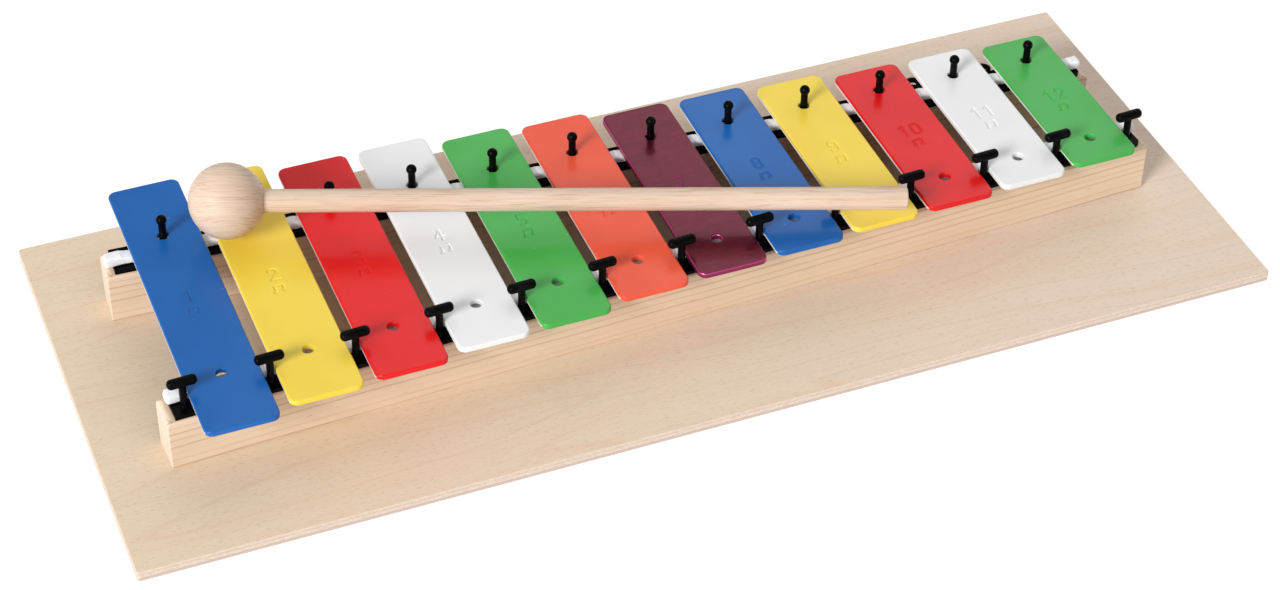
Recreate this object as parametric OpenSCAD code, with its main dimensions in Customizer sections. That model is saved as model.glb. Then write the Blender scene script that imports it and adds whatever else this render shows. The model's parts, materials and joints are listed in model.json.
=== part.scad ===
// Twelve-bar tuned-bar instrument on a plywood board, with its mallet.
// Origin: centre of the board's underside. +X runs from the low bars to the high bars,
// +Y points away from the player and +Z is up.

/* [Board] */
// Length of the base board
board_l = 406; // [395:1:430]
// Depth of the base board
board_w = 168; // [150:1:190]
// Thickness of the base board
board_t = 4; // [3:0.5:8]
// Corner radius of the base board
board_r = 1; // [0.5:0.5:6]

/* [Rails] */
// Length of each wooden rail
rail_l = 365; // [362:1:380]
// Width of each wooden rail
rail_w = 13; // [13:0.5:18]
// Height of each wooden rail
rail_h = 19.5; // [18:0.5:24]
// Radius of each rail's rounded upper ends
rail_end_r = 2; // [1:0.5:4]
// Distance between the rails' centre lines at mid-length
rail_gap = 60.9; // [58:0.1:64]
// Angle by which each rail closes in towards the high bars
rail_angle = 2.6; // [2:0.1:3]
// Distance from the board's middle to the middle of the bar row, towards the high bars
row_x = 1.5; // [0:0.5:4]
// Distance from the board's middle to the middle of the bar row, away from the player
row_y = 2.6; // [0:0.1:4]

/* [Bars] */
// Width of every bar
bar_w = 25; // [22:0.5:26]
// Thickness of every bar
bar_t = 2; // [1.5:0.1:3]
// Length of the lowest bar
bar_l_low = 129.5; // [124:0.5:134]
// Distance from one bar's centre line to the next
bar_pitch = 29.2; // [29:0.1:30]
// Corner radius of every bar
bar_r = 3; // [2:0.5:6]
// Diameter of the two holes in every bar
hole_d = 3.8; // [3.7:0.1:4.4]
// Distance between the two holes of the lowest bar
hole_span_low = 74; // [73:0.5:75]
// Distance between the two holes of the highest bar
hole_span_high = 49.5; // [49:0.5:51]
// Depth of the stamped marks
mark_depth = 0.3; // [0.2:0.1:0.6]

/* [Pin strips] */
// Length of each moulded strip
strip_l = 359; // [358:1:362]
// Width of each moulded strip
strip_w = 12; // [11:0.5:13]
// Thickness of each moulded strip
strip_t = 1.5; // [1:0.1:2]
// Diameter of the cross head on each front pin
cross_d = 3.5; // [3:0.1:3.6]
// Length of the cross head on each front pin
cross_l = 10; // [9:0.5:12]
// Diameter of the ball on each rear pin
knob_d = 3.7; // [3.2:0.1:3.7]
// Diameter of the pins' stems
stem_d = 2.6; // [2:0.1:2.8]

/* [Felts] */
// Length of each felt strip
felt_l = 361; // [358:1:364]
// Width of each felt strip
felt_w = 5; // [4:0.5:6]
// Thickness of each felt strip under the bars
felt_t = 2.95; // [2:0.05:4]

/* [Mallet] */
// Diameter of the mallet's ball
ball_d = 26; // [25:0.5:26]
// Diameter of the mallet's stick
stick_d = 8; // [7:0.5:8]
// Distance from the ball's centre to the stick's free end
stick_l = 230.5; // [200:0.5:260]

/* [Hidden] */

$fn = 48;
eps = 0.01;

// Sides of the bar row
FRONT = -1;
REAR = 1;

// Semitones of a major scale above the lowest bar: a bar's length falls with the root of its pitch
scale_steps = [0, 2, 4, 5, 7, 9, 11, 12, 14, 16, 17, 19];
bar_count = len(scale_steps);

// How far each bar lies towards the rear of its holes' middle
bar_slip = [1.4, 2.2, 0.7, 2.3, 0.6, 1.5, 0.4, 0.8, 0.5, -0.6, 0, 0.2];

// Heights of the stack, from the board up
rest_gap = 0.05;
rail_z = board_t;
strip_z = rail_z + rail_h;
felt_z = strip_z + strip_t;
bar_z = felt_z + felt_t + rest_gap;
bar_top = bar_z + bar_t;

// Pins stand outboard of the rail's centre line, and the felt lies inboard of the pins
pin_out = 1.8;
front_foot = [3.2, 1.4];
rear_foot = [3.4, 7];
felt_out = pin_out - rear_foot[0] / 2 - 0.1 - felt_w / 2;
front_pin_shift = 0.4;
felt_tail = 2;
cross_z = bar_top + 5.3;
cross_edge = 1.4;
dimple_d = 1.1;
knob_z = bar_top + 6.7;

// High bars' end of the moulded strips
strip_end_r = 2;
strip_cut_l = 7;

// Two small moulding rings on the rear strip's outer edge: [gap number, distance past the gap]
gate_rings = [[10, 2.2], [11, 0.8]];
gate_ring_d = 6;
gate_ring_hole = 3;

// Fasteners
screw_x = [-150, 0, 150];
screw_d = 3.2;
screw_head_d = 6;
screw_head_h = 1.6;
screw_l = 16;
screw_sink = 0.1;
tack_x = [-165, -55, 55, 165];
tack_d = 1.2;
tack_head_d = 3.6;
tack_head_h = 0.5;
tack_l = 9;
press = 0.1;

// Stamped marks
mark_h = 6.4;
mark_w = 3.6;
mark_line = 0.7;
mark_y = 2;
note_y = -5.6;

// Mallet at rest: ball against a rear pin, stick across the ninth front pin
ball_pos = [-138.1, 32.3, bar_top + 16.3];
stick_yaw = -18.25;
stick_drop = 1.8;
socket_depth = 15;
stick_edge = 0.5;
chamfer = 0.8;

blue = [0.16, 0.37, 0.66];
yellow = [0.93, 0.80, 0.30];
red = [0.86, 0.17, 0.17];
white = [0.91, 0.91, 0.91];
green = [0.28, 0.66, 0.33];
orange = [0.93, 0.39, 0.30];
purple = [0.42, 0.16, 0.24];
birch = [0.87, 0.78, 0.66];
pine = [0.90, 0.78, 0.62];
beech = [0.93, 0.80, 0.68];
black = [0.06, 0.06, 0.07];
felt_white = [0.90, 0.90, 0.93];
steel = [0.70, 0.70, 0.72];

// Position of a rail's long line at x along the row; out moves it away from the middle of the row
function rail_y(side, x, out = 0) = row_y + side * (rail_gap / 2 + out - x * tan(rail_angle));
function bar_x(i) = (i - (bar_count - 1) / 2) * bar_pitch;
function gap_x(i) = (i - bar_count / 2) * bar_pitch;
function bar_l(i) = bar_l_low * pow(2, -scale_steps[i] / 24);
function hole_span(i) = hole_span_low + (hole_span_high - hole_span_low) * i / (bar_count - 1);
function bar_y(i) = rail_y(REAR, bar_x(i), pin_out) - hole_span(i) / 2 + bar_slip[i];

// Puts children at x along a rail, turned to follow it
module along_rail(side, x = 0, out = 0) {
    translate([row_x + x, rail_y(side, x, out), 0])
        rotate([0, 0, -side * rail_angle])
            children();
}

// Plate with round corners, centred on the origin, standing on z = 0
module plate(l, w, t, r) {
    linear_extrude(height = t) {
        square([l - 2 * r, w], center = true);
        square([l, w - 2 * r], center = true);
        for (sx = [-1, 1])
            for (sy = [-1, 1])
                translate([sx * (l / 2 - r), sy * (w / 2 - r)])
                    circle(r = r);
    }
}

module at_screws() {
    for (side = [FRONT, REAR])
        at_rail_screws(side)
            children();
}

module at_rail_screws(side) {
    for (x = screw_x)
        along_rail(side, x)
            children();
}

module at_tacks(side) {
    for (x = tack_x)
        along_rail(side, x, felt_out)
            children();
}

module base_board() {
    color(birch)
        difference() {
            plate(board_l, board_w, board_t, board_r);
            at_screws() {
                translate([0, 0, -eps])
                    cylinder(d = screw_d + 0.4, h = board_t + 2 * eps);
                translate([0, 0, -eps])
                    cylinder(d1 = screw_head_d + 0.6, d2 = screw_d + 0.4, h = screw_head_h + screw_sink);
            }
        }
}

// Plain bar of wood along X with its two upper long edges eased and its upper ends rounded
module rail_bar() {
    intersection() {
        translate([-rail_l / 2, 0, 0])
            rotate([90, 0, 90])
                linear_extrude(height = rail_l)
                    polygon([
                        [-rail_w / 2, 0],
                        [rail_w / 2, 0],
                        [rail_w / 2, rail_h - chamfer],
                        [rail_w / 2 - chamfer, rail_h],
                        [-rail_w / 2 + chamfer, rail_h],
                        [-rail_w / 2, rail_h - chamfer]
                    ]);
        rotate([90, 0, 0])
            linear_extrude(height = rail_w + 2, center = true) {
                translate([-rail_l / 2, 0])
                    square([rail_l, rail_h - rail_end_r]);
                translate([rail_end_r - rail_l / 2, 0])
                    square([rail_l - 2 * rail_end_r, rail_h]);
                for (end = [-1, 1])
                    translate([end * (rail_l / 2 - rail_end_r), rail_h - rail_end_r])
                        circle(r = rail_end_r);
            }
    }
}

module rail(side) {
    color(pine)
        difference() {
            along_rail(side)
                translate([0, 0, rail_z])
                    rail_bar();
            at_rail_screws(side)
                translate([0, 0, rail_z - eps])
                    cylinder(d = screw_d - press, h = screw_l - board_t + 1);
            at_tacks(side)
                translate([0, 0, felt_z - tack_l - 0.5])
                    cylinder(d = tack_d - press, h = tack_l);
        }
}

// Countersunk wood screws, driven up through the board into a rail
module rail_screws(side) {
    color(steel)
        at_rail_screws(side)
            translate([0, 0, screw_sink])
                difference() {
                    union() {
                        cylinder(d1 = screw_head_d, d2 = screw_d, h = screw_head_h);
                        cylinder(d = screw_d, h = screw_l - 2);
                        translate([0, 0, screw_l - 2])
                            cylinder(d1 = screw_d, d2 = 0.6, h = 2);
                    }
                    for (turn = [0, 90])
                        rotate([0, 0, turn])
                            translate([0, 0, 0.35])
                                cube([3.2, 0.7, 0.8], center = true);
                }
}

// Flat-headed tacks that hold a strip down, hidden under the felt
module strip_tacks(side) {
    color(steel)
        at_tacks(side) {
            translate([0, 0, felt_z - tack_head_h])
                cylinder(d = tack_head_d, h = tack_head_h - 0.02);
            translate([0, 0, felt_z - tack_l])
                cylinder(d = tack_d, h = tack_l - tack_head_h + eps);
        }
}

// Strip seen from above: round corners at the high bars' end, where the rear strip is also cut narrow
module strip_outline(side) {
    difference() {
        union() {
            translate([-strip_l / 2, -strip_w / 2])
                square([strip_l - strip_end_r, strip_w]);
            translate([0, strip_end_r - strip_w / 2])
                square([strip_l / 2, strip_w - 2 * strip_end_r]);
            for (s = [-1, 1])
                translate([strip_l / 2 - strip_end_r, s * (strip_w / 2 - strip_end_r)])
                    circle(r = strip_end_r);
        }
        if (side == REAR)
            translate([gap_x(bar_count) - strip_cut_l, pin_out])
                square([2 * strip_cut_l, strip_w]);
    }
}

module strip_band(side) {
    difference() {
        along_rail(side)
            translate([0, 0, strip_z])
                linear_extrude(height = strip_t)
                    strip_outline(side);
        at_tacks(side) {
            translate([0, 0, strip_z - eps])
                cylinder(d = tack_d + 0.1, h = strip_t + 2 * eps);
            translate([0, 0, felt_z - tack_head_h - 0.02])
                cylinder(d = tack_head_d + 0.2, h = tack_head_h + 0.1);
        }
    }
}

// Straight stem on a tapered foot, foot = [diameter, height]
module pin_stem(top_z, foot) {
    translate([0, 0, felt_z - eps])
        cylinder(d = stem_d, h = top_z - felt_z);
    translate([0, 0, felt_z - eps])
        cylinder(d1 = foot[0], d2 = stem_d, h = foot[1]);
}

// Round bar with eased ends and a dimple in each end face, centred along X
module cross_head() {
    r = cross_d / 2;
    rotate([0, 90, 0])
        difference() {
            rotate_extrude()
                intersection() {
                    translate([0, -cross_l / 2])
                        square([r, cross_l]);
                    union() {
                        translate([0, -cross_l / 2 + cross_edge])
                            square([r, cross_l - 2 * cross_edge]);
                        translate([0, -cross_l / 2])
                            square([r - cross_edge, cross_l]);
                        for (end = [-1, 1])
                            translate([r - cross_edge, end * (cross_l / 2 - cross_edge)])
                                circle(r = cross_edge);
                    }
                }
            for (end = [-1, 1])
                translate([0, 0, end * cross_l / 2])
                    sphere(d = dimple_d);
        }
}

module front_pin_strip() {
    color(black) {
        strip_band(FRONT);
        for (i = [0 : bar_count])
            along_rail(FRONT, gap_x(i) + front_pin_shift, pin_out) {
                pin_stem(cross_z, front_foot);
                translate([0, 0, cross_z])
                    cross_head();
            }
    }
}

module gate_ring(gap, past) {
    along_rail(REAR, gap_x(gap) + past, strip_w / 2 + gate_ring_d / 2 - 0.8)
        translate([0, 0, strip_z + 0.2])
            difference() {
                cylinder(d = gate_ring_d, h = strip_t - 0.2);
                translate([0, 0, -eps])
                    cylinder(d = gate_ring_hole, h = strip_t + 2 * eps);
            }
}

module rear_pin_strip() {
    color(black) {
        strip_band(REAR);
        for (i = [0 : bar_count - 1])
            along_rail(REAR, bar_x(i), pin_out) {
                pin_stem(knob_z, rear_foot);
                translate([0, 0, knob_z])
                    sphere(d = knob_d);
            }
        for (ring = gate_rings)
            gate_ring(ring[0], ring[1]);
    }
}

// The rear felt reaches further at the low bars' end
module felt(side) {
    tail = side == REAR ? felt_tail : 0;
    color(felt_white)
        along_rail(side, 0, felt_out)
            translate([-felt_l / 2 - tail, -felt_w / 2, felt_z])
                cube([felt_l + tail, felt_w, felt_t]);
}

// Upper, left, lower or right half of a ring, for turn = 0, 90, 180 or -90
module half_ring(r, turn) {
    intersection() {
        difference() {
            circle(r = r);
            circle(r = r - mark_line);
        }
        rotate(turn)
            translate([-r, 0])
                square([2 * r, r]);
    }
}

module stroke(from, to) {
    reach = to - from;
    translate(from)
        rotate(atan2(reach[1], reach[0]))
            translate([0, -mark_line / 2])
                square([norm(reach), mark_line]);
}

// Plain stamped numeral, centred on the origin
module digit(d) {
    big = mark_w / 2;
    small = (mark_h + mark_line) / 4;
    top = mark_h / 2;
    in = mark_line / 2;
    if (d == 0) {
        translate([0, top - big]) half_ring(big, 0);
        translate([0, big - top]) half_ring(big, 180);
        for (s = [-1, 1])
            translate([s * (big - in), 0]) square([mark_line, mark_h - 2 * big], center = true);
    }
    if (d == 1) {
        stroke([0.3, -top], [0.3, top]);
        stroke([-1, top - 1.4], [0.3, top - in]);
    }
    if (d == 2) {
        translate([0, top - big]) half_ring(big, 0);
        stroke([big - in, top - big], [in - big, mark_line - top]);
        stroke([-big, in - top], [big, in - top]);
    }
    if (d == 3) {
        for (s = [-1, 1]) {
            translate([0, s * (top - small)]) half_ring(small, -90);
            stroke([-1.4, s * (top - in)], [0, s * (top - in)]);
        }
        stroke([-0.8, 0], [0, 0]);
    }
    if (d == 4) {
        stroke([0.7, -top], [0.7, top]);
        stroke([-big, -1], [big, -1]);
        stroke([0.5, top], [in - big, -1]);
    }
    if (d == 5) {
        stroke([-1.4, top - in], [1.4, top - in]);
        stroke([in - 1.4, top], [in - 1.4, 2 * big - top - mark_line]);
        stroke([-1.4, 2 * big - top - in], [0, 2 * big - top - in]);
        translate([0, big - top]) half_ring(big, -90);
        stroke([-1.4, in - top], [0, in - top]);
    }
    if (d == 6) {
        translate([0, top - big]) half_ring(big, 0);
        stroke([in - big, big - top], [in - big, top - big]);
        translate([0, big - top]) half_ring(big, 0);
        translate([0, big - top]) half_ring(big, 180);
    }
    if (d == 7) {
        stroke([-big, top - in], [big, top - in]);
        stroke([big - in, top - mark_line], [-0.6, -top]);
    }
    if (d == 8)
        for (s = [-1, 1])
            for (turn = [0, 180])
                translate([0, s * (top - small)]) half_ring(small, turn);
    if (d == 9)
        rotate(180) digit(6);
}

module numeral(n) {
    if (n < 10)
        digit(n);
    else {
        translate([-2.4, 0]) digit(floor(n / 10));
        translate([2.4, 0]) digit(n % 10);
    }
}

// Pair of joined music notes
module note_sign() {
    for (s = [-1, 1]) {
        translate([s * 1.5 - 0.4, s * 0.2 - 1.4]) circle(d = 1.6);
        stroke([s * 1.5, s * 0.2 - 1.4], [s * 1.5, s * 0.2 + 1.5]);
    }
    stroke([-1.8, 1.3], [1.8, 1.75]);
}

// Tuned metal bar i, its rear hole over rear pin i, its mid-length half the hole span in front
module bar(i, paint) {
    color(paint)
        translate([row_x + bar_x(i), bar_y(i), bar_z])
            difference() {
                plate(bar_w, bar_l(i), bar_t, bar_r);
                for (s = [FRONT, REAR])
                    translate([0, s * hole_span(i) / 2 - bar_slip[i], -eps])
                        cylinder(d = hole_d, h = bar_t + 2 * eps);
                translate([0, mark_y, bar_t - mark_depth])
                    linear_extrude(height = mark_depth + eps)
                        numeral(i + 1);
                translate([0, note_y, bar_t - mark_depth])
                    linear_extrude(height = mark_depth + eps)
                        note_sign();
            }
}

// Turns children, built along +X from the ball's centre, into the mallet's resting place
module at_mallet() {
    translate(ball_pos)
        rotate([0, stick_drop, stick_yaw])
            rotate([0, 90, 0])
                children();
}

module mallet_ball() {
    color(beech)
        at_mallet()
            difference() {
                sphere(d = ball_d, $fn = 96);
                translate([0, 0, ball_d / 2 - socket_depth])
                    cylinder(d = stick_d - press, h = socket_depth + eps);
            }
}

module mallet_stick() {
    foot = ball_d / 2 - socket_depth;
    color(beech)
        at_mallet() {
            translate([0, 0, foot])
                cylinder(d = stick_d, h = stick_l - foot - stick_edge);
            translate([0, 0, stick_l - stick_edge])
                cylinder(d1 = stick_d, d2 = stick_d - 2 * stick_edge, h = stick_edge);
        }
}

module front_rail() rail(FRONT);
module rear_rail() rail(REAR);
module front_rail_screws() rail_screws(FRONT);
module rear_rail_screws() rail_screws(REAR);
module front_strip_tacks() strip_tacks(FRONT);
module rear_strip_tacks() strip_tacks(REAR);
module front_felt() felt(FRONT);
module rear_felt() felt(REAR);
module low_c_bar() bar(0, blue);
module low_d_bar() bar(1, yellow);
module low_e_bar() bar(2, red);
module low_f_bar() bar(3, white);
module low_g_bar() bar(4, green);
module a_bar() bar(5, orange);
module b_bar() bar(6, purple);
module high_c_bar() bar(7, blue);
module high_d_bar() bar(8, yellow);
module high_e_bar() bar(9, red);
module high_f_bar() bar(10, white);
module high_g_bar() bar(11, green);

base_board();
front_rail();
rear_rail();
front_rail_screws();
rear_rail_screws();
front_pin_strip();
rear_pin_strip();
front_strip_tacks();
rear_strip_tacks();
front_felt();
rear_felt();
low_c_bar();
low_d_bar();
low_e_bar();
low_f_bar();
low_g_bar();
a_bar();
b_bar();
high_c_bar();
high_d_bar();
high_e_bar();
high_f_bar();
high_g_bar();
mallet_ball();
mallet_stick();
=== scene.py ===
"""Looks for the twelve-bar metallophone: plywood board, softwood rails, painted bars, beech mallet.

Metres, in the CAD model's own frame: +X towards the high bars, +Y away from the player, +Z up.
"""
import json
import math

import bmesh
import bpy
import numpy as np
from mathutils import Matrix, Vector, noise


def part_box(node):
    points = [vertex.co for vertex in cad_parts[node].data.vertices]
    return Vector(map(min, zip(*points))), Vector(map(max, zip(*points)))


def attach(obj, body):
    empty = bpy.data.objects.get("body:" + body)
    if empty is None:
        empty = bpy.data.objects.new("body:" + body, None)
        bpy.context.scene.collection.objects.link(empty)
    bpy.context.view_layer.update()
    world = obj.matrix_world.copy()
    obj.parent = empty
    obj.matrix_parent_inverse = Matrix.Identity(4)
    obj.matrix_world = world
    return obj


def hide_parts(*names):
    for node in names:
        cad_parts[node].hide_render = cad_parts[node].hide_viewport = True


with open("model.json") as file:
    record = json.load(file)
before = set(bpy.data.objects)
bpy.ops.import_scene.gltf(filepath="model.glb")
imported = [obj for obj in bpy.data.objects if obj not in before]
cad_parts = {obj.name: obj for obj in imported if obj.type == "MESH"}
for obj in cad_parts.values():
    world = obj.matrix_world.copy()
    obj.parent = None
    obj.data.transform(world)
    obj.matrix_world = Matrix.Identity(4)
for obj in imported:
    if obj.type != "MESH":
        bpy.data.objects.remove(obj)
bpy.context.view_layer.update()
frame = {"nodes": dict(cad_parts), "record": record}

MM = 0.001
FRONT, REAR = -1, 1
scene = bpy.context.scene

# Sizes repeated from part.scad
ROW_X, ROW_Y = 1.5 * MM, 2.6 * MM
RAIL_GAP = 60.9 * MM
RAIL_ANGLE = math.radians(2.6)
BOARD_CORNER = 1 * MM
BAR_CORNER = 3 * MM
BAR_PITCH = 29.2 * MM
HOLE_R = 1.9 * MM
HOLE_SPAN_LOW, HOLE_SPAN_HIGH = 74 * MM, 49.5 * MM
BAR_SLIP = [1.4, 2.2, 0.7, 2.3, 0.6, 1.5, 0.4, 0.8, 0.5, -0.6, 0, 0.2]
MARK_Y, NOTE_Y, GROOVE_DEPTH = 2, -5.6, 0.30  # the stamped marks, in millimetres
FELT_OUT = -2.5 * MM
FELT_L, FELT_W = 361 * MM, 5 * MM
SCREW_X = (-150 * MM, 0, 150 * MM)
SCREW_HOLE_R, SINK_R, SINK_DEPTH = 1.8 * MM, 3.3 * MM, 1.7 * MM
BALL_AT = Vector((-138.1, 32.3, 46.3)) * MM
BALL_R, STICK_R, STICK_L, SOCKET_DEPTH = 13 * MM, 4 * MM, 230.5 * MM, 15 * MM
STICK_DROP, STICK_YAW = math.radians(1.8), math.radians(-18.25)

# Sizes that only the looks have. Those of the stamped marks are in millimetres.
DIGIT_PITCH = 4.8
GROOVE_FLOOR_HALF, GROOVE_EDGE_HALF = 0.15, 0.50
PATCH_CELL, PATCH_ROWS = 0.17, 84
BAR_RIM_LOW, BAR_RIM_HIGH = 0.3 * MM, 0.6 * MM
BOARD_RIM = 0.3 * MM
RAIL_RIM = 0.35 * MM
PAINT_FOOT = 29.0 * MM  # below this height the bars' long sides are bare metal
PLY_LINE_LOW, PLY_LINE_HIGH = 0.0014, 0.0031  # heights of the plywood's two glue lines
YEAR = 0.0026  # width of one year's growth in the rails
BEECH_RING = 0.0015
GRAIN_TILT = math.radians(-40)

# The camera, and the studio's lamps as (position, aim, size, watts)
CAMERA_AT = Vector((-0.2967, -0.7263, 0.6657))
CAMERA_RIGHT = Vector((0.92953, -0.36861, 0.01052))
CAMERA_UP = Vector((0.23358, 0.61061, 0.75671))
CAMERA_BACK = Vector((-0.28535, -0.70092, 0.65367))
CAMERA_LENS, CAMERA_SENSOR = 82.24, 36
KEY = ((-3.42, -2.30, 2.15), (0, 0, 0.02), 1.5, 207)
SKY = ((1.1, 1.1, 2.0), (0, 0, 0.03), 2.4, 18)
WORLD_LIGHT = 0.40
FLOOR_REACH, FLOOR_BASE, FLOOR_GLOW = 8, 0.3, 0.82
FLOOR_GAP = 0.0003  # the floor lies this far under the board, so that their faces don't coincide

BARS = [
    "low_c_bar", "low_d_bar", "low_e_bar", "low_f_bar", "low_g_bar", "a_bar", "b_bar",
    "high_c_bar", "high_d_bar", "high_e_bar", "high_f_bar", "high_g_bar",
]


def on_rail(side, x, out=0.0):
    """A point of the line that runs along a rail, `out` away from the middle of the row."""
    return ROW_X + x, ROW_Y + side * (RAIL_GAP / 2 + out - x * math.tan(RAIL_ANGLE))


# ---------------------------------------------------------------- camera, light and floor

def make_camera():
    cam = bpy.data.objects.new("camera", bpy.data.cameras.new("camera"))
    scene.collection.objects.link(cam)
    axes = (CAMERA_RIGHT, CAMERA_UP, CAMERA_BACK, CAMERA_AT)
    cam.matrix_world = Matrix([[v[row] for v in axes] for row in range(3)] + [[0, 0, 0, 1]])
    cam.data.sensor_width = CAMERA_SENSOR
    cam.data.lens = CAMERA_LENS
    cam.data.clip_start, cam.data.clip_end = 0.05, 20
    scene.camera = cam


def area_light(name, at, aim, size, watts):
    data = bpy.data.lights.new(name, "AREA")
    data.energy = watts
    data.size = size
    lamp = bpy.data.objects.new(name, data)
    lamp.location = at
    lamp.rotation_euler = (Vector(aim) - Vector(at)).to_track_quat("-Z", "Y").to_euler()
    scene.collection.objects.link(lamp)


def make_studio():
    world = bpy.data.worlds.new("studio")
    scene.world = world
    world.use_nodes = True
    background = world.node_tree.nodes["Background"]
    background.inputs["Color"].default_value = (1, 1, 1, 1)
    background.inputs["Strength"].default_value = WORLD_LIGHT
    area_light("key", *KEY)
    area_light("sky", *SKY)
    scene.view_settings.view_transform = "Standard"
    scene.view_settings.look = "None"

    mesh = bpy.data.meshes.new("floor")
    corners = ((-1, -1), (1, -1), (1, 1), (-1, 1))
    corners = [(x * FLOOR_REACH, y * FLOOR_REACH, 0) for x, y in corners]
    mesh.from_pydata(corners, [], [(0, 1, 2, 3)])
    floor = bpy.data.objects.new("floor", mesh)
    floor.location.z = -FLOOR_GAP
    scene.collection.objects.link(floor)
    mat = Shader("floor_white")
    mat.set(base=(FLOOR_BASE,) * 3, rough=0.9, spec=0.1)
    mat.bsdf.inputs["Emission Color"].default_value = (1, 1, 1, 1)
    mat.bsdf.inputs["Emission Strength"].default_value = FLOOR_GLOW
    mesh.materials.append(mat.material)


# ---------------------------------------------------------------- materials

class Shader:
    """A node material with short calls for the nodes that this scene uses."""

    def __init__(self, name):
        self.material = bpy.data.materials.new(name)
        self.material.use_nodes = True
        self.nodes = self.material.node_tree.nodes
        self.links = self.material.node_tree.links
        self.bsdf = self.nodes["Principled BSDF"]
        self.coord = None

    def set(self, base=None, rough=None, spec=None, metal=None, coat=None, coat_rough=None,
            sheen=None, sheen_rough=None):
        names = {
            "Roughness": rough, "Specular IOR Level": spec, "Metallic": metal,
            "Coat Weight": coat, "Coat Roughness": coat_rough,
            "Sheen Weight": sheen, "Sheen Roughness": sheen_rough,
        }
        if base:
            self.bsdf.inputs["Base Color"].default_value = (*base, 1)
        for key, value in names.items():
            if value is not None:
                self.bsdf.inputs[key].default_value = value

    def add(self, kind, inputs=None, **settings):
        node = self.nodes.new(kind)
        for key, value in settings.items():
            setattr(node, key, value)
        for key, value in (inputs or {}).items():
            self.feed(node.inputs[key], value)
        return node

    def feed(self, socket, value):
        if isinstance(value, bpy.types.NodeSocket):
            self.links.new(value, socket)
        elif isinstance(value, tuple) and len(value) == 3 and len(socket.default_value) == 4:
            socket.default_value = (*value, 1)
        else:
            socket.default_value = value

    def place(self, at=(0, 0, 0), turn=(0, 0, 0)):
        """The object's own coordinates, seen from a frame at `at` turned by `turn`."""
        if self.coord is None:
            self.coord = self.add("ShaderNodeTexCoord").outputs["Object"]
        return self.add("ShaderNodeMapping", {
            "Vector": self.coord, "Location": tuple(at), "Rotation": turn,
        }, vector_type="TEXTURE").outputs[0]

    def stretch(self, vector, scale):
        """Coordinates multiplied axis by axis, so that a noise of scale 1 is finer or longer."""
        inputs = {0: vector, 1: scale}
        return self.add("ShaderNodeVectorMath", inputs, operation="MULTIPLY").outputs[0]

    def axes(self, vector):
        return self.add("ShaderNodeSeparateXYZ", {0: vector}).outputs

    def noise(self, vector, scale, detail=3, rough=0.5, distortion=0):
        """Smooth noise from 0 to 1, with about `scale` lumps in a metre."""
        return self.add("ShaderNodeTexNoise", {
            "Vector": vector, "Scale": scale, "Detail": detail, "Roughness": rough,
            "Distortion": distortion,
        }).outputs["Fac"]

    def math(self, op, a, b=0.0, c=0.0):
        return self.add("ShaderNodeMath", {0: a, 1: b, 2: c}, operation=op).outputs[0]

    def ramp(self, value, low, high, out_low=0.0, out_high=1.0):
        """Eases from out_low at value low to out_high at value high, and stays level beyond."""
        return self.add("ShaderNodeMapRange", {
            "Value": value, "From Min": low, "From Max": high,
            "To Min": out_low, "To Max": out_high,
        }, interpolation_type="SMOOTHSTEP").outputs[0]

    def mix(self, fac, a, b):
        # sockets 0, 6 and 7 of a Mix node are its factor and its two colours
        return self.add("ShaderNodeMix", {0: fac, 6: a, 7: b}, data_type="RGBA").outputs[2]

    def bump(self, height, distance, strength=1.0, under=None):
        inputs = {"Height": height, "Distance": distance, "Strength": strength}
        if under is not None:
            inputs["Normal"] = under
        return self.add("ShaderNodeBump", inputs).outputs[0]

    def facing(self, axis):
        """How squarely the surface faces along the part's X, Y or Z, from 0 to 1."""
        normal = self.axes(self.add("ShaderNodeNewGeometry").outputs["Normal"])[axis]
        return self.math("ABSOLUTE", normal)

    def from_gap(self, x):
        """How far x lies from the nearest gap between bars: 0 in a gap, 0.5 in a bar's middle."""
        return self.math("PINGPONG", self.math("MULTIPLY", x, 1 / BAR_PITCH), 0.5)

    def connect(self, colour=None, rough=None, normal=None):
        for key, value in (("Base Color", colour), ("Roughness", rough), ("Normal", normal)):
            if value is not None:
                self.links.new(value, self.bsdf.inputs[key])


def enamel(name, colour, deep, rough=0.24):
    """Gloss paint sprayed from above, with faint orange peel and a few dust specks.

    The long sides are bare metal below PAINT_FOOT.
    """
    m = Shader(name)
    m.set(spec=0.27, coat=0.05, coat_rough=0.12)
    p = m.place()
    mottle = m.noise(p, 35, 2)
    specks = m.ramp(m.noise(p, 700, 0), 0.86, 0.92)
    base = m.mix(m.ramp(mottle, 0.35, 0.65), colour, deep)
    base = m.mix(m.math("MULTIPLY", specks, 0.15), base, (0.85, 0.85, 0.85))
    x, _, z = m.axes(p)
    height = m.math("ADD", z, m.math("MULTIPLY", m.noise(p, 90, 2), 0.0006))
    bare = m.ramp(height, PAINT_FOOT + 0.0001, PAINT_FOOT + 0.0005, 1.0, 0.0)
    bare = m.math("MULTIPLY", bare, m.ramp(m.facing(0), 0.85, 0.97))
    not_in_hole = m.ramp(m.from_gap(m.math("SUBTRACT", x, ROW_X)), 0.2, 0.3, 1.0, 0.0)
    bare = m.math("MULTIPLY", bare, not_in_hole)
    base = m.mix(m.math("MULTIPLY", bare, 0.9), base, (0.82, 0.80, 0.77))
    roughness = m.ramp(m.noise(p, 60, 3), 0.3, 0.7, rough - 0.02, rough + 0.03)
    normal = m.bump(m.noise(p, 300, 1), 0.00003, 0.22)
    normal = m.bump(m.noise(p, 1500, 1), 0.00001, 0.2, normal)
    m.connect(base, roughness, normal)
    return m.material


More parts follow.
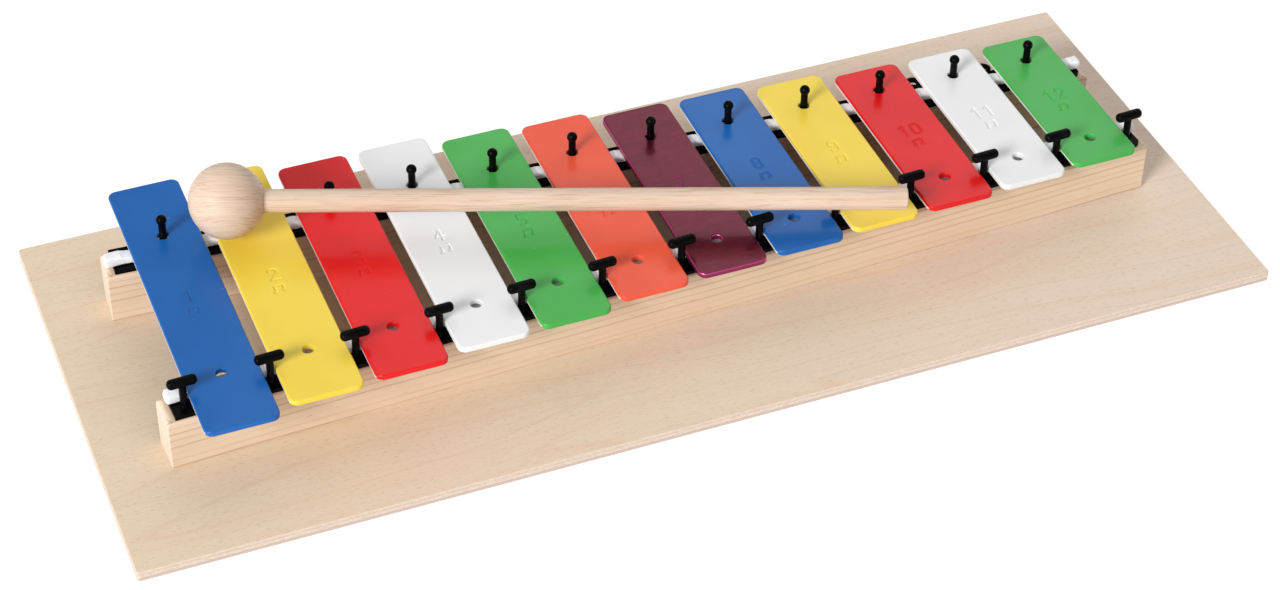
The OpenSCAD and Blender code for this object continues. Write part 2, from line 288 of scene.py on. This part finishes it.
def lacquered_metal(name, colour, deep, rim):
    """Transparent coloured lacquer over bright metal, with a painted magenta highlight on the rims
    and sides.
    """
    m = Shader(name)
    m.set(metal=0.7, coat=0.22, coat_rough=0.1)
    p = m.place()
    brushed = m.noise(m.stretch(p, (60, 1400, 1400)), 1, 2)
    base = m.mix(m.ramp(brushed, 0.3, 0.7), colour, deep)
    # painted highlight: the bright rim colour goes on the tilted rims, a weaker share on the
    # upright sides, none on the flat top
    level = m.facing(2)
    off_side = m.ramp(level, 0.15, 0.45, 0.3, 1.0)
    off_top = m.ramp(level, 0.75, 0.97, 0.9, 0.0)
    base = m.mix(m.math("MULTIPLY", off_side, off_top), base, rim)
    roughness = m.ramp(m.noise(p, 200, 3), 0.3, 0.7, 0.26, 0.36)
    m.connect(base, roughness, m.bump(m.noise(p, 420, 2), 0.00004, 0.4))
    return m.material


def black_moulding():
    """Flexible black plastic with a faint moulded texture and handling marks."""
    m = Shader("black_plastic")
    m.set(spec=0.05)
    p = m.place()
    dusty = m.ramp(m.noise(p, 260, 4, 0.6), 0.50, 0.75)
    base = m.mix(dusty, (0.002, 0.002, 0.0022), (0.007, 0.007, 0.008))
    roughness = m.ramp(m.noise(p, 500, 3), 0.3, 0.7, 0.2, 0.36)
    m.connect(base, roughness, m.bump(m.noise(p, 1500, 2), 0.00003, 0.4))
    return m.material


def felt_cloth(name, side):
    """Pressed white wool: tangled fibres, soft pits, and painted shade in dark grey where the bars
    lie over it.
    """
    m = Shader(name)
    m.set(rough=0.95, spec=0.1, sheen=0.4, sheen_rough=0.6)
    p = m.place((ROW_X, ROW_Y, 0), (0, 0, -side * RAIL_ANGLE))
    fibres = m.noise(m.stretch(p, (1500, 3600, 2600)), 1, 4, 0.65, 1.5)
    lumps = m.noise(p, 700, 3)
    base = m.mix(m.ramp(fibres, 0.3, 0.7), (0.76, 0.76, 0.80), (0.93, 0.93, 0.96))
    x = m.axes(p)[0]
    under = m.math("LESS_THAN", m.math("ABSOLUTE", x), len(BARS) / 2 * BAR_PITCH)
    # painted shade: the felt turns dark grey away from the gaps, under each bar, along the row
    under_bar_shade = m.ramp(m.from_gap(x), 0.13, 0.27)
    under_bar_shade = m.math("MULTIPLY", under_bar_shade, m.ramp(lumps, 0.2, 0.7, 0.95, 0.75))
    under_bar_shade = m.math("MULTIPLY", under_bar_shade, under)
    base = m.mix(under_bar_shade, base, (0.16, 0.155, 0.15))
    normal = m.bump(lumps, 0.00025, 0.6)
    m.connect(base, None, m.bump(fibres, 0.0001, 0.8, normal))
    return m.material


def softwood(name, at, turn, pith):
    """Straight-grained pine: thin brown lines where each year's growth ends, pale sanded ends.

    pith says how far in Y and Z the rail's middle lies from the tree's own.
    """
    m = Shader(name)
    m.set(spec=0.3)
    p = m.place(at, turn)
    wander = m.noise(m.stretch(p, (5, 40, 40)), 1, 2)
    wander_fine = m.noise(m.stretch(p, (30, 220, 220)), 1, 2)
    _, y, z = m.axes(p)
    y = m.math("ADD", y, pith[0])
    z = m.math("ADD", z, pith[1])
    squares = m.math("ADD", m.math("MULTIPLY", y, y), m.math("MULTIPLY", z, z))
    radius = m.math("SQRT", squares)
    radius = m.math("ADD", radius, m.math("MULTIPLY", wander, 0.006))
    radius = m.math("ADD", radius, m.math("MULTIPLY", wander_fine, 0.0006))
    years = m.math("MULTIPLY", radius, 1 / YEAR)
    ring = m.math("FRACT", years)
    late = m.math("MULTIPLY", m.ramp(ring, 0.62, 0.92), m.ramp(ring, 0.92, 1.0, 1.0, 0.0))
    year = m.add("ShaderNodeTexWhiteNoise", {"W": m.math("FLOOR", years)}, noise_dimensions="1D")
    fibres = m.noise(m.stretch(p, (45, 1500, 1500)), 1, 3, 0.6)
    patches = m.noise(m.stretch(p, (12, 60, 60)), 1, 2)
    strength = m.ramp(year.outputs["Value"], 0.0, 1.0, 0.12, 0.75)
    flecks = m.ramp(m.noise(m.stretch(p, (160, 1500, 1500)), 1, 1), 0.72, 0.80)
    base = m.mix(m.ramp(patches, 0.3, 0.7), (0.83, 0.655, 0.50), (0.79, 0.60, 0.44))
    base = m.mix(m.math("MULTIPLY", late, strength), base, (0.56, 0.35, 0.20))
    base = m.mix(m.ramp(fibres, 0.35, 0.7, 0.0, 0.14), base, (0.62, 0.43, 0.28))
    base = m.mix(m.math("MULTIPLY", flecks, 0.4), base, (0.45, 0.27, 0.15))
    end = m.ramp(m.facing(0), 0.5, 0.85)
    base = m.mix(m.math("MULTIPLY", end, 0.8), base, (0.75, 0.635, 0.52))
    roughness = m.ramp(late, 0, 1, 0.62, 0.5)
    normal = m.bump(late, 0.00005, 0.5)
    m.connect(base, roughness, m.bump(fibres, 0.00006, 0.5, normal))
    return m.material


def plywood():
    """Birch plywood: a pale rotary-cut face, and on the edges the plies with their glue lines."""
    m = Shader("birch_ply")
    m.set(spec=0.3)
    p = m.place()
    x, _, z = m.axes(p)
    bend = m.noise(m.stretch(p, (7, 16, 0)), 1, 2)
    shift = m.add("ShaderNodeCombineXYZ", {1: m.math("MULTIPLY", bend, 0.02)}).outputs[0]
    warped = m.add("ShaderNodeVectorMath", {0: p, 1: shift}, operation="ADD").outputs[0]
    bands = m.noise(m.stretch(warped, (4, 90, 0)), 1, 3, 0.55)
    streaks = m.noise(m.stretch(warped, (22, 520, 0)), 1, 4, 0.6)
    pores = m.ramp(m.noise(m.stretch(warped, (380, 2700, 0)), 1, 1), 0.60, 0.70)
    growth = m.noise(m.stretch(warped, (2.2, 26, 0)), 1, 1)
    line = m.ramp(m.math("PINGPONG", m.math("MULTIPLY", growth, 9), 0.5), 0.0, 0.07, 1.0, 0.0)
    face = m.mix(m.ramp(x, -0.2, 0.15), (0.775, 0.625, 0.46), (0.765, 0.625, 0.505))
    face = m.mix(m.ramp(bands, 0.45, 0.72, 0.0, 0.28), face, (0.76, 0.53, 0.36))
    face = m.mix(m.ramp(streaks, 0.45, 0.75, 0.0, 0.2), face, (0.62, 0.46, 0.33))
    face = m.mix(m.math("MULTIPLY", line, 0.2), face, (0.66, 0.42, 0.25))
    face = m.mix(m.math("MULTIPLY", pores, 0.42), face, (0.46, 0.32, 0.22))

    waver = m.noise(m.stretch(p, (60, 60, 0)), 1, 2)
    z = m.math("ADD", z, m.math("MULTIPLY", waver, 0.0003))
    # the lowest ply on the edges is darker and greyer: partly that veneer's own tone, partly
    # painted shade near the floor
    bottom_ply_shade = m.ramp(z, 0.0013, 0.0015, 1.0, 0.0)
    line_low = m.math("COMPARE", z, PLY_LINE_LOW, 0.00014)
    line_high = m.math("COMPARE", z, PLY_LINE_HIGH, 0.00012)
    lines = m.math("MAXIMUM", line_low, line_high)
    grain = m.noise(m.stretch(p, (900, 900, 1800)), 1, 3, 0.6)
    edge = m.mix(m.ramp(grain, 0.3, 0.7), (0.74, 0.61, 0.50), (0.64, 0.50, 0.40))
    edge = m.mix(bottom_ply_shade, edge, m.mix(grain, (0.52, 0.41, 0.36), (0.63, 0.51, 0.46)))
    edge = m.mix(m.math("MULTIPLY", lines, 0.5), edge, (0.42, 0.27, 0.19))
    side = m.ramp(m.facing(2), 0.55, 0.8, 1.0, 0.0)
    base = m.mix(side, face, edge)
    seams = m.math("MULTIPLY", lines, side)
    height = m.math("SUBTRACT", streaks, m.math("MULTIPLY", seams, 0.6))
    roughness = m.ramp(streaks, 0.3, 0.7, 0.5, 0.64)
    m.connect(base, roughness, m.bump(height, 0.00006, 0.5))
    return m.material


def beech(name):
    """Turned beech: faint rings along the stick's axis and short brown ray flecks."""
    m = Shader(name)
    m.set(spec=0.35)
    p = m.place(BALL_AT, (GRAIN_TILT, STICK_DROP, STICK_YAW))
    bend = m.noise(m.stretch(p, (14, 60, 60)), 1, 2)
    _, y, z = m.axes(p)
    across = m.math("ADD", z, m.math("MULTIPLY", y, 0.35))
    across = m.math("ADD", across, m.math("MULTIPLY", bend, 0.004))
    rings = m.math("SINE", m.math("MULTIPLY", across, 2 * math.pi / BEECH_RING))
    streaks = m.noise(m.stretch(p, (30, 160, 1500)), 1, 4, 0.65)
    flecks = m.ramp(m.noise(m.stretch(p, (75, 260, 3000)), 1, 1), 0.58, 0.66)
    blotch = m.noise(m.stretch(p, (25, 60, 60)), 1, 2)
    base = m.mix(m.ramp(blotch, 0.3, 0.7), (0.735, 0.575, 0.45), (0.69, 0.52, 0.395))
    base = m.mix(m.ramp(rings, -1, 1, 0.0, 0.16), base, (0.64, 0.43, 0.29))
    base = m.mix(m.ramp(streaks, 0.42, 0.72, 0.0, 0.5), base, (0.56, 0.37, 0.25))
    base = m.mix(m.math("MULTIPLY", flecks, 0.42), base, (0.36, 0.22, 0.14))
    roughness = m.ramp(streaks, 0.3, 0.7, 0.42, 0.56)
    height = m.math("SUBTRACT", streaks, m.math("MULTIPLY", flecks, 0.7))
    m.connect(base, roughness, m.bump(height, 0.00005, 0.5))
    return m.material


def zinc():
    """Bright zinc plate with a fine mottle."""
    m = Shader("zinc_plate")
    m.set(metal=1.0)
    p = m.place()
    spangle = m.noise(p, 900, 3)
    base = m.mix(m.ramp(spangle, 0.3, 0.7), (0.62, 0.62, 0.60), (0.42, 0.42, 0.42))
    roughness = m.ramp(m.noise(p, 2400, 2), 0.3, 0.7, 0.25, 0.45)
    m.connect(base, roughness, m.bump(spangle, 0.00003, 0.4))
    return m.material


# ---------------------------------------------------------------- shapes

def body_of(node):
    bodies = frame["record"]["behaviour"]["bodies"]
    return next(body for body, members in bodies.items() if node in members)


def slot_of(node):
    subparts = frame["record"]["subparts"]
    return next(part["material_slot"] for part in subparts if part["node"] == node)


def dress(node, material):
    """The CAD node stays, with this material in all its slots."""
    mesh = frame["nodes"][node].data
    mesh.materials.clear()
    mesh.materials.append(material)


def ease(node, width, segments=3):
    """Rounds the CAD node's sharp edges without touching its own mesh."""
    obj = frame["nodes"][node]
    obj.modifiers.new("weld", "WELD").merge_threshold = 1e-6
    bevel = obj.modifiers.new("ease", "BEVEL")
    bevel.width = width
    bevel.segments = segments
    bevel.limit_method = "ANGLE"
    bevel.angle_limit = math.radians(35)
    bevel.use_clamp_overlap = False
    obj.modifiers.new("normals", "WEIGHTED_NORMAL").keep_sharp = True


def stand_in(node, bm, material, suffix, sharp_angle=60):
    """Turns bm into a smooth-shaded piece that replaces one CAD node on its own body."""
    bmesh.ops.recalc_face_normals(bm, faces=bm.faces)
    name = f"{node}_{suffix}"
    mesh = bpy.data.meshes.new(name)
    bm.to_mesh(mesh)
    bm.free()
    mesh.polygons.foreach_set("use_smooth", [True] * len(mesh.polygons))
    mesh.set_sharp_from_angle(angle=math.radians(sharp_angle))
    mesh.materials.append(material)
    obj = bpy.data.objects.new(name, mesh)
    scene.collection.objects.link(obj)
    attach(obj, body_of(node))
    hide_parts(node)
    obj.modifiers.new("normals", "WEIGHTED_NORMAL").keep_sharp = True
    return obj


def bridge(bm, low, high):
    """Joins two rings of as many vertices with a band of faces."""
    n = len(low)
    for k in range(n):
        bm.faces.new((low[k], low[(k + 1) % n], high[(k + 1) % n], high[k]))


def rim_levels(z_low, z_high, round_low, round_high, steps=5):
    """(height, inset) pairs up a plate's side whose lower and upper rims are quarter circles."""
    levels = []
    for k in range(steps + 1):
        a = math.pi / 2 * k / steps
        levels.append((z_low + round_low * (1 - math.cos(a)), round_low * (1 - math.sin(a))))
    for k in range(steps + 1):
        a = math.pi / 2 * k / steps
        levels.append((z_high - round_high * (1 - math.sin(a)), round_high * (1 - math.cos(a))))
    return levels


def round_rectangle(width, length, radius, inset, steps=12):
    """The outline of a plate centred on the origin, drawn in by `inset` all round."""
    points = []
    radius -= inset
    for quarter, (sx, sy) in enumerate(((1, 1), (-1, 1), (-1, -1), (1, -1))):
        cx = sx * (width / 2 - inset - radius)
        cy = sy * (length / 2 - inset - radius)
        for k in range(steps + 1):
            a = math.pi / 2 * (quarter + k / steps)
            points.append((cx + radius * math.cos(a), cy + radius * math.sin(a)))
    return points


def circle(x, y, radius, steps=40):
    turn = 2 * math.pi / steps
    return [(x + radius * math.cos(turn * k), y + radius * math.sin(turn * k))
            for k in range(steps)]


def drilled_plate(centre, levels, loops_at, patch=None):
    """A plate with holes: loops_at(z, inset) gives its outline first, and then its holes.

    patch(bm) makes a grid of vertices that takes its place in the top face, and gives its rim.
    """
    bm = bmesh.new()
    rows = [[[bm.verts.new((centre.x + x, centre.y + y, z)) for x, y in loop]
             for loop in loops_at(z, inset)] for z, inset in levels]
    for low, high in zip(rows, rows[1:]):
        for a, b in zip(low, high):
            bridge(bm, a, b)
    top_loops = list(rows[-1])
    if patch:
        top_loops.append(patch(bm))
    for loops in (rows[0], top_loops):
        edges = [bm.edges.get((loop[k], loop[(k + 1) % len(loop)]))
                 for loop in loops for k in range(len(loop))]
        bmesh.ops.triangle_fill(bm, use_beauty=True, edges=edges)
    return bm


def arc(x, y, radius, start, end, steps=12):
    return [(x + radius * math.cos(math.radians(start + (end - start) * k / steps)),
             y + radius * math.sin(math.radians(start + (end - start) * k / steps)))
            for k in range(steps + 1)]


def digit_paths(d):
    """The strokes of a plain numeral 6.4 high and 3.6 wide, in millimetres."""
    top, big, small = 2.85, 1.45, 1.425
    return {
        0: [arc(0, top - big, big, 0, 180) + arc(0, big - top, big, 180, 360)
            + [(big, top - big)]],
        1: [[(-1.0, top - 1.2), (0.3, top), (0.3, -top)]],
        2: [arc(0, top - big, big, 170, -20) + [(-big, -top), (big, -top)]],
        3: [[(-1.3, top)] + arc(0, top - small, small, 90, -90)
            + arc(0, small - top, small, 90, -90) + [(-1.3, -top)]],
        4: [[(0.6, -top), (0.6, top), (-1.5, -1.0), (1.6, -1.0)]],
        5: [[(1.2, top), (-1.1, top), (-1.1, 0.25)] + arc(0, big - top, big, 90, -90)
            + [(-1.3, -top)]],
        6: [arc(0, top - big, big, 20, 180) + [(-big, big - top)]
            + arc(0, big - top, big, 180, 540)],
        7: [[(-1.5, top), (1.5, top), (-0.5, -top)]],
        8: [arc(0, top - small, small, -90, 270), arc(0, small - top, small, 90, 450)],
        9: [arc(0, big - top, big, 200, 360) + [(big, top - big)]
            + arc(0, top - big, big, 0, 360)],
    }[d]


def note_paths():
    """Two joined notes."""
    return [
        [(-1.5, -1.6), (-1.5, 1.35), (1.5, 1.75), (1.5, -1.2)],
        arc(-1.85, -1.6, 0.3, 0, 360), arc(1.15, -1.2, 0.3, 0, 360),
    ]


def mark_strokes(number):
    """A bar's stamped strokes, in millimetres from its centre, and half their patch's width."""
    digits = [int(c) for c in str(number)]
    strokes = [[(x, y + NOTE_Y) for x, y in path] for path in note_paths()]
    for k, d in enumerate(digits):
        shift = (k - (len(digits) - 1) / 2) * DIGIT_PITCH
        strokes += [[(x + shift, y + MARK_Y) for x, y in path] for path in digit_paths(d)]
    return strokes, 2.9 if len(digits) == 1 else 5.1


def groove_depth(points, strokes):
    """How deep each point lies, in millimetres, in smooth-sided strokes stamped into a face."""
    nearest = np.full(len(points), np.inf)
    for stroke in strokes:
        for start, end in zip(stroke, stroke[1:]):
            start, along = np.array(start), np.array(end) - np.array(start)
            if along @ along < 1e-9:
                continue
            t = np.clip((points - start) @ along / (along @ along), 0, 1)
            away = np.linalg.norm(points - start - t[:, None] * along, axis=1)
            nearest = np.minimum(nearest, away)
    fade = np.clip((GROOVE_EDGE_HALF - nearest) / (GROOVE_EDGE_HALF - GROOVE_FLOOR_HALF), 0, 1)
    return GROOVE_DEPTH * fade * fade * (3 - 2 * fade)


def stamped_patch(centre, top, number):
    """A maker of a fine grid, pressed in along the marks' strokes, with its rim flat in the top."""
    strokes, half = mark_strokes(number)
    xs = np.linspace(-half, half, round(2 * half / PATCH_CELL))
    ys = np.linspace(NOTE_Y - 2.8, MARK_Y + 3.7, PATCH_ROWS)
    grid = np.array([(x, y) for y in ys for x in xs])
    depth = groove_depth(grid, strokes).reshape(len(ys), len(xs))

    def build(bm):
        rows = [[bm.verts.new((centre.x + x * MM, centre.y + y * MM, top - depth[j, i] * MM))
                 for i, x in enumerate(xs)] for j, y in enumerate(ys)]
        for low, high in zip(rows, rows[1:]):
            for k in range(len(low) - 1):
                bm.faces.new((low[k], low[k + 1], high[k + 1], high[k]))
        right = [row[-1] for row in rows]
        left = [row[0] for row in rows]
        return rows[0] + right[1:] + rows[-1][-2::-1] + left[-2:0:-1]

    return build


def make_bar(number, node, material):
    low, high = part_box(node)
    centre = (low + high) / 2
    width, length = high.x - low.x, high.y - low.y
    span = HOLE_SPAN_LOW + (HOLE_SPAN_HIGH - HOLE_SPAN_LOW) * number / (len(BARS) - 1)
    slip = BAR_SLIP[number] * MM

    def loops(z, inset):
        return [
            round_rectangle(width, length, BAR_CORNER, inset),
            circle(0, span / 2 - slip, HOLE_R + inset),
            circle(0, -span / 2 - slip, HOLE_R + inset),
        ]

    levels = rim_levels(low.z, high.z, BAR_RIM_LOW, BAR_RIM_HIGH)
    bm = drilled_plate(centre, levels, loops, stamped_patch(centre, high.z, number + 1))
    stand_in(node, bm, material, "plate")


def make_board(material):
    low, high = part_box("base_board")
    width, length = high.x - low.x, high.y - low.y
    spots = [on_rail(side, x) for side in (FRONT, REAR) for x in SCREW_X]

    def loops(z, inset):
        sink = max(0.0, 1 - z / SINK_DEPTH)
        radius = SCREW_HOLE_R + (SINK_R - SCREW_HOLE_R) * sink
        outline = round_rectangle(width, length, BOARD_CORNER, inset)
        return [outline] + [circle(x, y, radius) for x, y in spots]

    levels = sorted(rim_levels(low.z, high.z, BOARD_RIM, BOARD_RIM) + [(SINK_DEPTH, 0)])
    stand_in("base_board", drilled_plate(Vector((0, 0, 0)), levels, loops), material, "sheet")


def make_felt(side, node, material):
    """A soft strip with rounded edges and ends, swelling up between the bars and at its free ends.

    The rear one also bows outward between its low pins and at the high end, and reaches further
    at the low end.
    """
    low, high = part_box(node)
    thick = high.z - low.z
    steps, around = 600, 32
    power = 2 / 3.6  # rounds the rectangular section: 1 would be an ellipse, 0 a sharp rectangle
    end_keep = 0.62  # the part of the section that is left at the very ends
    end_round, swell, gap_half = 0.7 * MM, 0.28 * MM, 2.4 * MM
    free_from, free_rise, free_swell = 174.5 * MM, 2.5 * MM, 0.8 * MM
    bow, tail = (1.2 * MM, 2 * MM) if side == REAR else (0.0, 0.0)
    last_pin = (len(BARS) - 1) / 2  # in pitches from the middle of the row
    low_end, high_end = -FELT_L / 2 - tail, FELT_L / 2
    turn = Matrix.Rotation(-side * RAIL_ANGLE, 4, "Z")
    origin = Vector((*on_rail(side, 0, FELT_OUT), (low.z + high.z) / 2))
    gaps = [(k - len(BARS) / 2) * BAR_PITCH / math.cos(RAIL_ANGLE) for k in range(len(BARS) + 1)]
    bm = bmesh.new()
    rings = []
    for step in range(steps + 1):
        x = low_end + (high_end - low_end) * step / steps
        inside = min(1.0, min(x - low_end, high_end - x) / end_round)
        squeeze = end_keep + (1 - end_keep) * math.sqrt(max(0.0, 1 - (1 - inside) ** 2))
        lift = max(0.0, 1 - min(abs(x - gap) for gap in gaps) / gap_half)
        lift = swell * lift * lift * (3 - 2 * lift)
        free = min(1.0, max(0.0, (abs(x) - free_from) / free_rise))
        lift = max(lift, free_swell * free * free * (3 - 2 * free))
        sway = bow * (0.5 - 0.5 * math.cos(2 * math.pi * min(x / BAR_PITCH + 0.5, 6)))
        if x > last_pin * BAR_PITCH:
            sway = bow * math.sin(math.pi / 2 * min(1.0, (x / BAR_PITCH - last_pin) / 0.5))
        ring = []
        for k in range(around):
            a = 2 * math.pi * k / around
            y = math.copysign(abs(math.cos(a)) ** power, math.cos(a)) * FELT_W / 2 * squeeze
            z = math.copysign(abs(math.sin(a)) ** power, math.sin(a)) * thick / 2 * squeeze
            lumps = noise.noise(Vector((x, y, z)) * 420 + Vector((0, side * 40, 0)))
            wool = noise.noise(Vector((x, y, z)) * 1300)
            dent = 1 - 0.05 * (0.5 + lumps) - 0.03 * (0.5 + wool)
            if z > 0:
                z += lift * z / (thick / 2)
                z *= dent
            at = Vector((x, y * dent + side * sway, z))
            ring.append(bm.verts.new(origin + turn @ at))
        rings.append(ring)
    for a, b in zip(rings, rings[1:]):
        bridge(bm, a, b)
    bm.faces.new(rings[0])
    bm.faces.new(rings[-1])
    stand_in(node, bm, material, "strip")


def lathe(profile, steps):
    """A solid turned round the stick's axis at rest, from (distance along it, radius) points."""
    turn = (Matrix.Translation(BALL_AT) @ Matrix.Rotation(STICK_YAW, 4, "Z")
            @ Matrix.Rotation(STICK_DROP, 4, "Y"))
    bm = bmesh.new()
    rings = []
    for x, radius in profile:
        if radius < 1e-9:
            rings.append([bm.verts.new(turn @ Vector((x, 0, 0)))])
        else:
            rings.append([bm.verts.new(turn @ Vector((x, y, z)))
                          for y, z in circle(0, 0, radius, steps)])
    for a, b in zip(rings, rings[1:]):
        if len(a) == 1 or len(b) == 1:
            point, ring = (a[0], b) if len(a) == 1 else (b[0], a)
            for k in range(steps):
                bm.faces.new((point, ring[k], ring[(k + 1) % steps]))
        else:
            bridge(bm, a, b)
    return bm


def make_mallet():
    """The ball with an eased socket, and the stick with a sanded free end."""
    mouth = STICK_R + 0.35 * MM
    start = math.asin(mouth / BALL_R)
    steps = 72
    ball = [(BALL_R * math.cos(a), BALL_R * math.sin(a))
            for a in (start + (math.pi - start) * k / steps for k in range(steps))]
    bottom, brim = BALL_R - SOCKET_DEPTH, ball[0][0]
    socket = [(bottom, 0), (bottom, STICK_R),
              (brim - 0.45 * MM, STICK_R), (brim - 0.12 * MM, STICK_R + 0.1 * MM)]
    ball = socket + ball + [(-BALL_R, 0)]
    stand_in("mallet_ball", lathe(ball, 96), beech("ball_wood"), "turned")

    foot, edge, radius = bottom + 0.05 * MM, 0.6 * MM, STICK_R - 0.04 * MM
    stick = [(foot, 0), (foot, STICK_R - 0.05 * MM)]
    stick += [(foot + (STICK_L - edge - foot) * k / 40, radius) for k in range(1, 41)]
    stick += [(STICK_L - edge + edge * math.sin(a), radius - edge * (1 - math.cos(a)))
              for a in (math.pi / 2 * k / 5 for k in range(1, 6))]
    stick += [(STICK_L, 0)]
    stand_in("mallet_stick", lathe(stick, 64), beech("stick_wood"), "turned")


# ---------------------------------------------------------------- the scene

make_camera()
make_studio()

ENAMELS = {
    "blue_enamel": enamel("blue_paint", (0.010, 0.124, 0.43), (0.008, 0.112, 0.40)),
    "yellow_enamel": enamel("yellow_paint", (0.88, 0.66, 0.075), (0.86, 0.62, 0.06)),
    "red_enamel": enamel("red_paint", (0.76, 0.010, 0.012), (0.70, 0.007, 0.009)),
    "white_enamel": enamel("white_paint", (0.83, 0.83, 0.835), (0.80, 0.80, 0.805)),
    "green_enamel": enamel("green_paint", (0.068, 0.43, 0.085), (0.056, 0.40, 0.066)),
    "orange_enamel": enamel("orange_paint", (0.84, 0.105, 0.05), (0.81, 0.09, 0.04)),
    "purple_enamel": lacquered_metal("purple_lacquer", (0.15, 0.007, 0.028), (0.118, 0.005, 0.022),
                                     (0.70, 0.09, 0.30)),
}
for number, node in enumerate(BARS):
    make_bar(number, node, ENAMELS[slot_of(node)])

make_board(plywood())
for side, node in ((FRONT, "front_rail"), (REAR, "rear_rail")):
    turned = (0, 0, -side * RAIL_ANGLE)
    dress(node, softwood(f"{node}_wood", (*on_rail(side, 0), 0.01), turned, (0.012, 0.03)))
    ease(node, RAIL_RIM)
plastic = black_moulding()
for node in ("front_pin_strip", "rear_pin_strip"):
    dress(node, plastic)
make_felt(FRONT, "front_felt", felt_cloth("front_felt_wool", FRONT))
make_felt(REAR, "rear_felt", felt_cloth("rear_felt_wool", REAR))
steel = zinc()
for node in ("front_rail_screws", "rear_rail_screws", "front_strip_tacks", "rear_strip_tacks"):
    dress(node, steel)
make_mallet()
